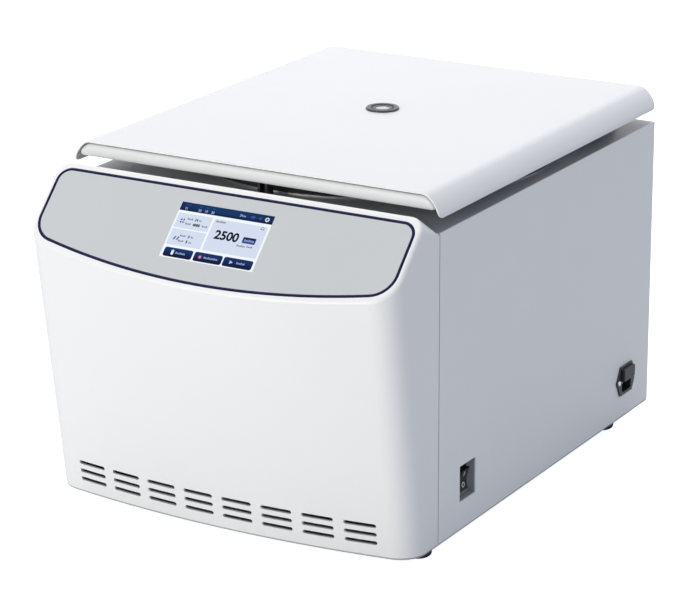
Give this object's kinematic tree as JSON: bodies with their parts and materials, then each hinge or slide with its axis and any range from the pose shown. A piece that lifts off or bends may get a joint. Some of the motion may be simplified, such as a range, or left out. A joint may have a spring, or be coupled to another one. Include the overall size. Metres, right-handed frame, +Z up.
{
  "type": "microplate centrifuge",
  "caption": "Bench microplate centrifuge: white case on rubber feet, sloped touch panel, hinged lid with a viewing port over a round chamber with a swing-out rotor.",
  "frame": {"origin": "on the table, under the middle of the machine", "axes": "+Z up, +X to the right seen from the front, +Y from the control panel to the back"},
  "size_m": [0.457, 0.6287, 0.399],
  "materials": {
    "white_case_paint": "smooth white powder coat",
    "white_cover_plastic": "satin white moulding",
    "grey_deck_paint": "satin grey paint",
    "grey_liner": "light grey formed sheet",
    "panel_film": "grey printed film with a dark blue border",
    "screen": "lit touch screen",
    "plated_steel": "zinc plated",
    "bright_steel": "brushed",
    "black_rubber": "matt black",
    "anodised_aluminium": "clear anodised",
    "cast_aluminium": "cast",
    "motor_iron": "laminated",
    "circuit_board": "green solder mask",
    "dark_plastic": "black moulding",
    "recess_plastic": "grey moulding",
    "clear_lens": "clear window",
    "chromed_steel": "polished"
  },
  "bodies": {
    "base": {"base_tray": "white_case_paint", "rubber_feet": "black_rubber", "left_side_panel": "white_case_paint", "right_side_panel": "white_case_paint", "front_bulkhead": "plated_steel", "deck_plate": "grey_deck_paint", "rear_panel": "white_case_paint", "front_cover": "white_cover_plastic", "control_overlay": "panel_film", "touch_screen": "screen", "screen_bracket": "plated_steel", "control_board": "circuit_board", "cover_screws": "plated_steel", "rear_screws": "plated_steel", "chamber_bowl": "bright_steel", "chamber_gasket": "black_rubber", "guard_ring": "bright_steel", "motor_plate": "plated_steel", "frame_posts": "plated_steel", "motor_dampers": "black_rubber", "motor_endshield": "cast_aluminium", "motor_housing": "cast_aluminium", "motor_stator": "motor_iron", "motor_bearings": "bright_steel", "shaft_boot": "black_rubber", "hinge_brackets": "plated_steel", "hinge_pins": "chromed_steel", "hinge_springs": "plated_steel", "lock_housing": "plated_steel", "lock_solenoid": "dark_plastic", "switch_recess": "recess_plastic", "switch_housing": "dark_plastic", "power_inlet": "dark_plastic", "inlet_pins": "chromed_steel", "inlet_screws": "chromed_steel", "fan_frame": "dark_plastic", "motor_drive": "cast_aluminium", "mains_filter": "cast_aluminium"},
    "lid": {"lid_shell": "white_case_paint", "lid_liner": "grey_liner", "sealing_disc": "bright_steel", "port_ring": "dark_plastic", "port_lens": "clear_lens", "port_nut": "dark_plastic", "lid_hinge_arms": "plated_steel", "lock_striker": "plated_steel", "lid_screws": "plated_steel"},
    "rotor": {"drive_shaft": "bright_steel", "motor_core": "motor_iron", "rotor_yoke": "anodised_aluminium", "bucket_pins": "bright_steel", "rotor_nut": "bright_steel"},
    "left_bucket": {"left_bucket": "anodised_aluminium"},
    "right_bucket": {"right_bucket": "anodised_aluminium"},
    "power_rocker": {"power_rocker": "dark_plastic"},
    "fuse_drawer": {"fuse_drawer": "dark_plastic"},
    "lock_bolt": {"lock_bolt": "bright_steel"},
    "fan": {"fan_impeller": "dark_plastic"}
  },
  "joints": [
    {"name": "lid_hinge", "type": "hinge", "parent": "base", "child": "lid", "pos_m": [0, 0.303, 0.369], "axis": [-1, 0, 0], "range_deg": [0, 75], "stiffness_Nm_per_rad": 6.5, "springref_deg": 104.85},
    {"name": "rotor_spin", "type": "hinge", "parent": "base", "child": "rotor", "pos_m": [0, 0.053, 0.27], "axis": [0, 0, 1], "continuous": true},
    {"name": "left_bucket_swing", "type": "hinge", "parent": "rotor", "child": "left_bucket", "pos_m": [-0.088, 0.053, 0.27], "axis": [0, 1, 0], "range_deg": [0, 90]},
    {"name": "right_bucket_swing", "type": "hinge", "parent": "rotor", "child": "right_bucket", "pos_m": [0.088, 0.053, 0.27], "axis": [0, -1, 0], "range_deg": [0, 90]},
    {"name": "rocker_tilt", "type": "hinge", "parent": "base", "child": "power_rocker", "pos_m": [0.215, -0.13725, 0.06775], "axis": [0, -1, 0], "range_deg": [0, 12]},
    {"name": "fuse_drawer_slide", "type": "slide", "parent": "base", "child": "fuse_drawer", "axis": [1, 0, 0], "range_m": [0, 0.025]},
    {"name": "lock_bolt_slide", "type": "slide", "parent": "base", "child": "lock_bolt", "axis": [1, 0, 0], "range_m": [0, 0.017]},
    {"name": "fan_spin", "type": "hinge", "parent": "base", "child": "fan", "pos_m": [-0.12, 0.29675, 0.097], "axis": [0, -1, 0], "continuous": true}
  ]
}
